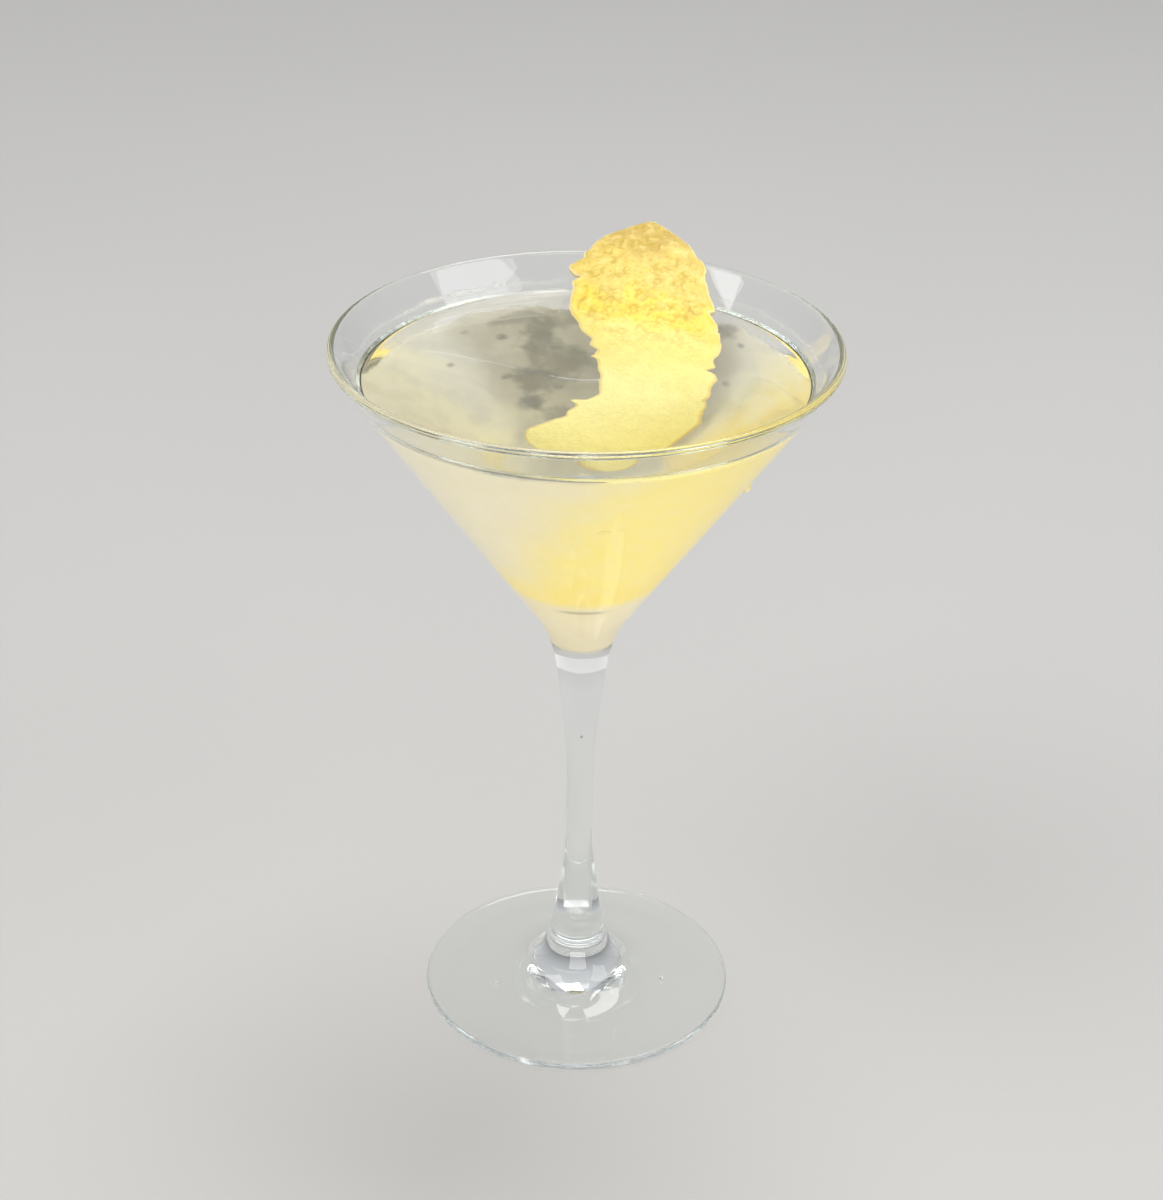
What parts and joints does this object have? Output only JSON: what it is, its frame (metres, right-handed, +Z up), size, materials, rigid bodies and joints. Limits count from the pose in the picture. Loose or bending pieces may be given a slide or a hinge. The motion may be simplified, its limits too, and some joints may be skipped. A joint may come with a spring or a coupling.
{
  "type": "martini cocktail",
  "caption": "Stemmed cocktail glass with a cone-shaped bowl, filled with a pale yellow drink, and a wide strip of lemon peel that stands in the drink and hangs over the rim.",
  "frame": {"origin": "on the glass's axis, at the height of the surface that the foot stands on", "axes": "+Z up along the axis of the glass; +Y towards the side on which the lemon peel crosses the rim, and the peel's yellow side faces -Y"},
  "size_m": [0.11, 0.1131, 0.1721],
  "materials": {
    "glass": "clear, polished",
    "drink": "pale yellow liquid, slightly cloudy, with a still surface",
    "lemon_peel": "pitted yellow skin over pale pith"
  },
  "bodies": {
    "root": {"glass": "glass", "drink": "drink", "lemon_peel": "lemon_peel"}
  },
  "joints": []
}
